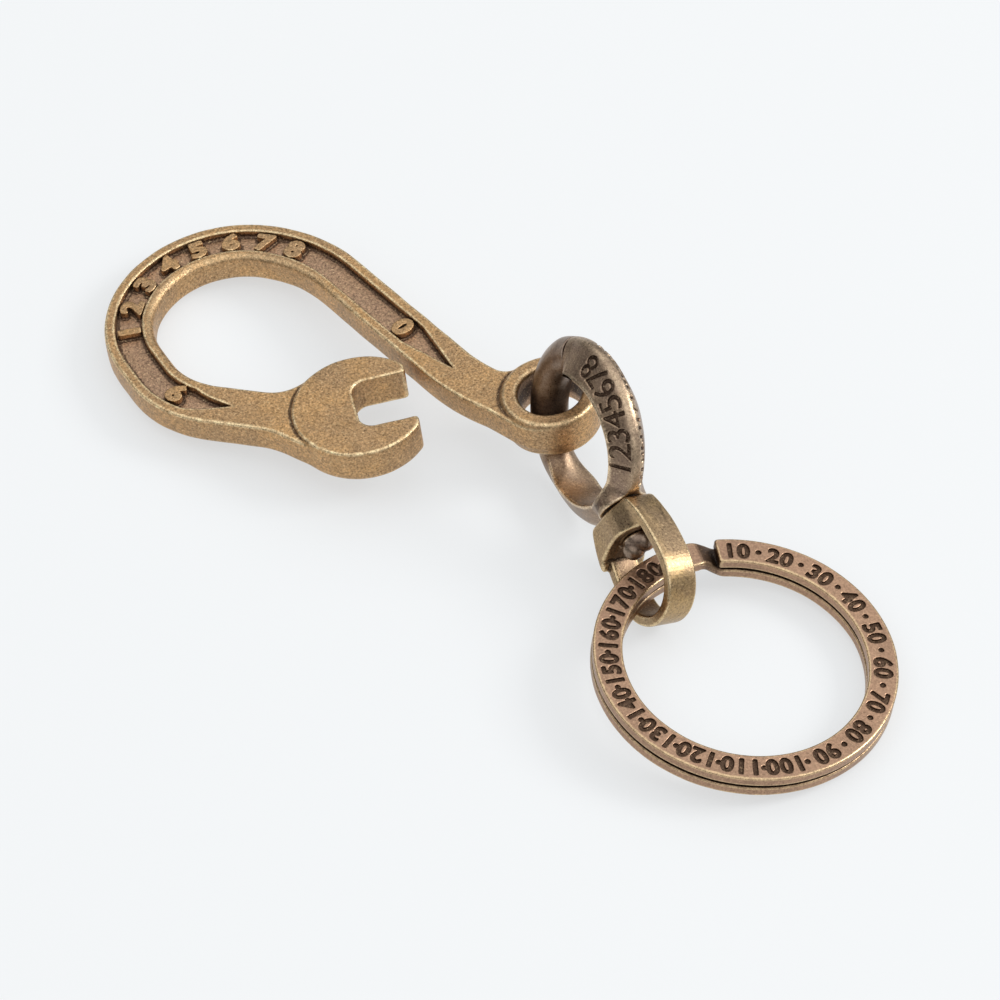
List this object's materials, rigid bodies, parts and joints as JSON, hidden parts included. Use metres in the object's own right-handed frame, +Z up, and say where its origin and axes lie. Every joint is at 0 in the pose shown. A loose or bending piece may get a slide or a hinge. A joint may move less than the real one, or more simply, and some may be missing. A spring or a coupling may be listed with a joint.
{
  "type": "carabiner keychain",
  "caption": "Cast hook keychain whose tip is an open-ended spanner, linked by a shackle ring and a swivel stirrup to a split key ring.",
  "frame": {"origin": "on the table, at the centre of the object's footprint", "axes": "+X along the laid-out chain from the hook's loop to the key ring, +Z up from the table"},
  "size_m": [0.1062, 0.0386, 0.0215],
  "materials": {
    "hook_brass": "antique cast brass, satin, darker in the channel",
    "shackle_brass": "antique brass, brown patina with polished edges",
    "bar_brass": "antique brass, dark patina",
    "stirrup_brass": "antique brass, brown patina with polished edges",
    "ring_brass": "red-brown antique brass with polished edges"
  },
  "bodies": {
    "hook": {"hook": "hook_brass"},
    "shackle": {"shackle_ring": "shackle_brass", "shackle_bar": "bar_brass", "swivel_rivet": "bar_brass"},
    "stirrup": {"stirrup": "stirrup_brass"},
    "key_ring": {"split_ring": "ring_brass"}
  },
  "joints": [
    {"name": "shackle_in_eye", "type": "hinge", "parent": "hook", "child": "shackle", "pos_m": [0.00055, 0.01217, 0.00785], "axis": [-0.106, -0.0396, 0.9936], "range_deg": [-40, 90]},
    {"name": "stirrup_swivel", "type": "hinge", "parent": "shackle", "child": "stirrup", "pos_m": [0.01598, 0.00419, 0.00805], "axis": [0.8226, -0.4937, -0.2821], "continuous": true},
    {"name": "key_ring_swing", "type": "hinge", "parent": "stirrup", "child": "key_ring", "pos_m": [0.02201, 0.00001, 0.00439], "axis": [-0.1824, -0.9803, 0.0761], "range_deg": [-75, 75]}
  ]
}
